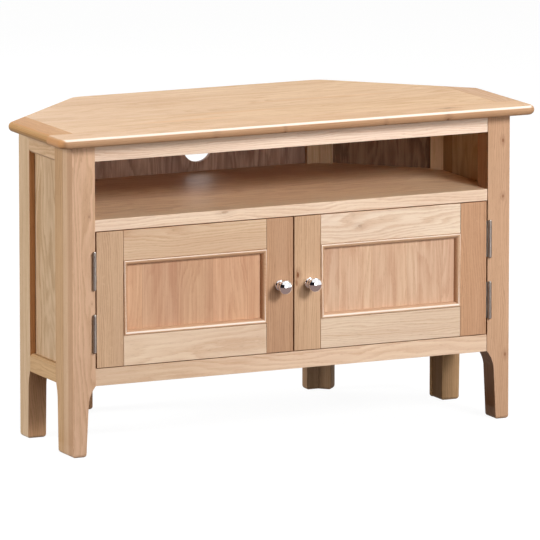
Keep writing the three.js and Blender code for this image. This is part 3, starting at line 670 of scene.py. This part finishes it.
# each side and its door
RIGHT_SEED = 50.0       # the right side's seeds are this much on from the left side's
for word, side in SIDES:
    more = 0.0 if side < 0 else RIGHT_SEED
    wall = (side * SLANT, -SLANT, 0.0)
    board(f"{word}_front_post", "post", Z, X, 60.0 + more, gloss=0.12)
    board(f"{word}_rear_post", "side", Z, Y, 62.0 + more)
    board(f"{word}_back_post", "side", Z, X, 64.0 + more, gloss=0.05)
    board(f"{word}_side_stile", "side", Z, Y, 66.0 + more)
    board(f"{word}_side_top_rail", "side", Y, Z, 68.0 + more)
    board(f"{word}_side_bottom_rail", "side", Y, Z, 70.0 + more)
    board(f"{word}_side_panel", "side", Z, Y, 72.0 + more, stave=62.0, vary=0.05, rings=0.6, streaks=0.6)
    board(f"{word}_wall_panel", "back", Z, wall, 74.0 + more, stave=110.0, vary=0.14, **BACK_STYLE)
    board(f"{word}_top_cleat", "shelf", Y, Z, 76.0 + more)
    board(f"{word}_door_hinge_stile", "door", Z, X, 80.0 + more, flecks=0.7, facing=DOOR_EDGE_SHADE)
    board(f"{word}_door_meeting_stile", "door", Z, X, 82.0 + more, flecks=0.2, facing=DOOR_EDGE_SHADE)
    board(f"{word}_door_top_rail", "rail", X, Z, 84.0 + more, streaks=0.45, facing=DOOR_EDGE_SHADE)
    board(f"{word}_door_bottom_rail", "rail", X, Z, 86.0 + more, streaks=0.45, facing=DOOR_EDGE_SHADE)
    board(f"{word}_door_panel", "panel", Z, X, 88.0 + more, stave=66.0, vary=0.12, rings=0.35, streaks=0.9)
    bead(f"{word}_door_bead", 90.0 + more)

# Fittings
CHROME = metal("polished_chrome", (0.93, 0.93, 0.95, 1.0), 0.06, dirt=0.12)
NICKEL = metal("satin_nickel", rgb("a8a29c"), 0.34, brush=0.16, dirt=0.5)
ZINC = metal("zinc_plate", rgb("b9b6ae"), 0.38, brush=0.05, dirt=0.5)
CATCH = plastic("catch_plastic", rgb("6b4a33"))

# the knob, from its front: a shallow dome, a tight turn at its rim, then a neck and a collar
KNOB_SIDES = 96
KNOB_BASE = 0.3 * MM                    # how far behind the node's box the distances start
TIP_SHORT = 1.2 * MM                    # the tip's distance is the box's depth less this
DOME_RADIUS, DOME_ANGLE, DOME_STEPS = 14.6 * MM, math.radians(55), 24
RIM_RADIUS, RIM_ANGLE, RIM_STEPS = 2.6 * MM, math.radians(48), 12
COLLAR = ((8.0, 13.5), (7.1, 10.5), (6.9, 9.0), (7.0, 7.6), (7.4, 6.9), (8.0, 6.3), (8.7, 5.8), (9.1, 5.3),
          (9.2, 4.7), (8.9, 0.3), (0, 0.3))     # radius and distance, in mm


def knob_profile(radius, tip):
    """(radius, distance) points down the knob, from its tip to its back."""
    rim = Vector((radius - RIM_RADIUS,
                  tip - DOME_RADIUS * (1 - math.cos(DOME_ANGLE)) - RIM_RADIUS * math.cos(DOME_ANGLE)))
    dome_edge = DOME_RADIUS * math.sin(DOME_ANGLE)
    shift = rim.x + RIM_RADIUS * math.sin(DOME_ANGLE) - dome_edge
    dome = [(DOME_RADIUS * math.sin(a), tip - DOME_RADIUS * (1 - math.cos(a)))
            for a in (DOME_ANGLE * k / DOME_STEPS for k in range(DOME_STEPS))]
    dome = [(r + shift * r / dome_edge, far) for r, far in dome]
    turn = [(rim.x + RIM_RADIUS * math.sin(a), rim.y + RIM_RADIUS * math.cos(a))
            for a in (DOME_ANGLE + RIM_ANGLE * k / RIM_STEPS for k in range(RIM_STEPS + 1))]
    return [*dome, *turn, *((r * MM, far * MM) for r, far in COLLAR)]


def knob(node):
    low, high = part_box(node)
    base = Vector(((low.x + high.x) / 2, high.y + KNOB_BASE, (low.z + high.z) / 2))
    profile = knob_profile((high.x - low.x) / 2, high.y - low.y - TIP_SHORT)
    lathe(f"{node}_turned", profile, base, FORWARD, KNOB_SIDES, node, CHROME)


for word, _ in SIDES:
    knob(f"{word}_door_knob")
    eased(f"{word}_knob_screw", ZINC, FITTING_ARRIS)
    eased(f"{word}_door_catch", CATCH, FITTING_ARRIS)
    for place in ("lower", "upper"):
        for kind in ("door_leaf", "post_leaf", "pin"):
            eased(f"{word}_{place}_hinge_{kind}", NICKEL, HINGE_ARRIS)


# Stage, lamps and camera
WHITE = (1, 1, 1, 1)
FLOOR_REACH = 14.0
FLOOR_SEEN, FLOOR_GLOW = (0.13, 0.13, 0.13, 1), 0.945
FLOOR_SHED = (0.12, 0.105, 0.09, 1)
AMBIENT, AMBIENT_TONE = 0.035, (1.0, 0.86, 0.72, 1)


def seen_directly(t):
    """1 for what the camera, gloss and glass see, 0 for the light that a surface sheds."""
    path = t.node("LightPath").outputs
    return t.largest(path["Is Camera Ray"], path["Is Glossy Ray"], path["Is Transmission Ray"])


def make_floor():
    """A floor that is seen white with the cabinet's shadow, and sheds little light of its own."""
    mesh = bpy.data.meshes.new("floor")
    far = FLOOR_REACH
    mesh.from_pydata([(-far, -far, 0), (far, -far, 0), (far, far, 0), (-far, far, 0)], [], [(0, 1, 2, 3)])
    floor = bpy.data.objects.new("floor", mesh)
    bpy.context.scene.collection.objects.link(floor)
    made = bpy.data.materials.new("pale_floor")
    t, surface = cleared(made, "Material")
    shaded = t.node("BsdfDiffuse", {"Color": FLOOR_SEEN}).outputs[0]
    glow = t.node("Emission", {"Color": WHITE, "Strength": FLOOR_GLOW}).outputs[0]
    pale = t.node("AddShader", {0: shaded, 1: glow}).outputs[0]
    plain = t.node("BsdfDiffuse", {"Color": FLOOR_SHED}).outputs[0]
    t.put(surface, t.node("MixShader", {0: seen_directly(t), 1: plain, 2: pale}).outputs[0])
    mesh.materials.append(made)


def make_world():
    """A backdrop that is seen white, and lights dull surfaces only faintly."""
    world = bpy.data.worlds.new("studio")
    bpy.context.scene.world = world
    t, surface = cleared(world, "World")
    white = t.node("Background", {0: WHITE, 1: 1.0}).outputs[0]
    dim = t.node("Background", {0: AMBIENT_TONE, 1: AMBIENT}).outputs[0]
    t.put(surface, t.node("MixShader", {0: seen_directly(t), 1: dim, 2: white}).outputs[0])


LAMP_AIM = Vector((0.0, 0.0, 0.28))
# direction from the cabinet, distance and size in m, and level
LAMPS = {
    "key_softbox": ((0.245, -0.853, 0.462), 4.0, 0.9, 0.62),
    "front_fill": ((-0.035, -0.983, 0.18), 6.0, 2.6, 0.36),
    "overhead_softbox": ((0.424, -0.178, 0.888), 4.5, 1.5, 0.22),
    "left_fill": ((-0.93, 0.14, 0.34), 12.0, 4.4, 0.88),
    "back_fill": ((0.1, 0.9, 0.45), 4.0, 2.2, 0.16),
}
NO_GLARE = ("left_fill",)       # hidden from gloss, since it would glare off the top


def lamp(name, direction, distance, size, level):
    """A square soft box.  Level is the brightness it gives a white card that faces it."""
    data = bpy.data.lights.new(name, "AREA")
    data.shape, data.size = "SQUARE", size
    data.energy = level * math.pi ** 2 * distance ** 2
    made = bpy.data.objects.new(name, data)
    bpy.context.scene.collection.objects.link(made)
    toward = Vector(direction).normalized()
    made.location = LAMP_AIM + toward * distance
    made.rotation_euler = toward.to_track_quat("Z", "Y").to_euler()
    made.visible_glossy = name not in NO_GLARE


def card(name, centre, normal, width, height, shade):
    """A dim glowing board that only reflections see: a painted reflection, hidden from the camera, from
    diffuse light and from shadows.
    """
    place = Matrix.Translation(centre) @ Vector(normal).to_track_quat("Z", "Y").to_matrix().to_4x4()
    a, b = width / 2, height / 2
    mesh = bpy.data.meshes.new(name)
    mesh.from_pydata([place @ Vector(c) for c in ((-a, -b, 0), (a, -b, 0), (a, b, 0), (-a, b, 0))],
                     [], [(0, 1, 2, 3)])
    made = bpy.data.objects.new(name, mesh)
    bpy.context.scene.collection.objects.link(made)
    material = bpy.data.materials.new(name)
    t, surface = cleared(material, "Material")
    t.put(surface, t.node("Emission", {"Color": shade, "Strength": 1.0}).outputs[0])
    mesh.materials.append(material)
    made.visible_camera = made.visible_diffuse = made.visible_shadow = False
    made.visible_transmission = made.visible_volume_scatter = False


# painted reflections: dark boards for the knobs and the lacquer to mirror, and a brown floor seen only in
# reflections
# centre, the way it faces, width, height and shade
REFLECTION_CARDS = {
    "floor_reflection_card": ((-0.3, -2.6, 0.02), Z, 7.0, 5.1, (0.30, 0.21, 0.19, 1)),
    "stand_reflection_card": ((-1.607, -1.44, 0.866), (0.7556, 0.5903, -0.284), 2.6, 1.65, (0.012, 0.01, 0.014, 1)),
    "side_reflection_card": ((-1.98, 0.07, 0.99), (0.93, -0.131, -0.342), 1.2, 1.0, (0.04, 0.03, 0.03, 1)),
    "boom_reflection_card": ((-1.505, -0.683, 1.675), (0.707, 0.23, -0.669), 0.6, 1.1, (0.02, 0.014, 0.02, 1)),
}

CAMERA_AZIMUTH, CAMERA_ELEVATION = -25.373, 10.115
CAMERA_AIM = Vector((-0.04424, -0.18175, 0.29677))
CAMERA_DISTANCE = 13.0
CAMERA_LENS, CAMERA_SENSOR = 506.48, 36.0       # mm
HALF_PIXEL = 0.86 * MM                          # at the cabinet


def make_camera():
    """A long lens at the photograph's angle: lines stay almost parallel."""
    azimuth, elevation = math.radians(CAMERA_AZIMUTH), math.radians(CAMERA_ELEVATION)
    back = Vector((math.sin(azimuth) * math.cos(elevation), -math.cos(azimuth) * math.cos(elevation),
                   math.sin(elevation)))
    data = bpy.data.cameras.new("camera")
    data.sensor_fit, data.sensor_width, data.lens = "HORIZONTAL", CAMERA_SENSOR, CAMERA_LENS
    data.clip_start, data.clip_end = 0.1, 100.0
    camera = bpy.data.objects.new("camera", data)
    bpy.context.scene.collection.objects.link(camera)
    turn = (-back).to_track_quat("-Z", "Y")
    right, up = turn @ Vector(X), turn @ Vector(Y)
    camera.location = CAMERA_AIM + back * CAMERA_DISTANCE - right * HALF_PIXEL + up * HALF_PIXEL
    camera.rotation_mode = "QUATERNION"
    camera.rotation_quaternion = turn
    bpy.context.scene.camera = camera


make_floor()
make_world()
for name, (direction, distance, size, level) in LAMPS.items():
    lamp(name, direction, distance, size, level)
for name, (centre, normal, width, height, shade) in REFLECTION_CARDS.items():
    card(name, centre, normal, width, height, shade)
make_camera()
bpy.context.scene.view_settings.view_transform = "Standard"
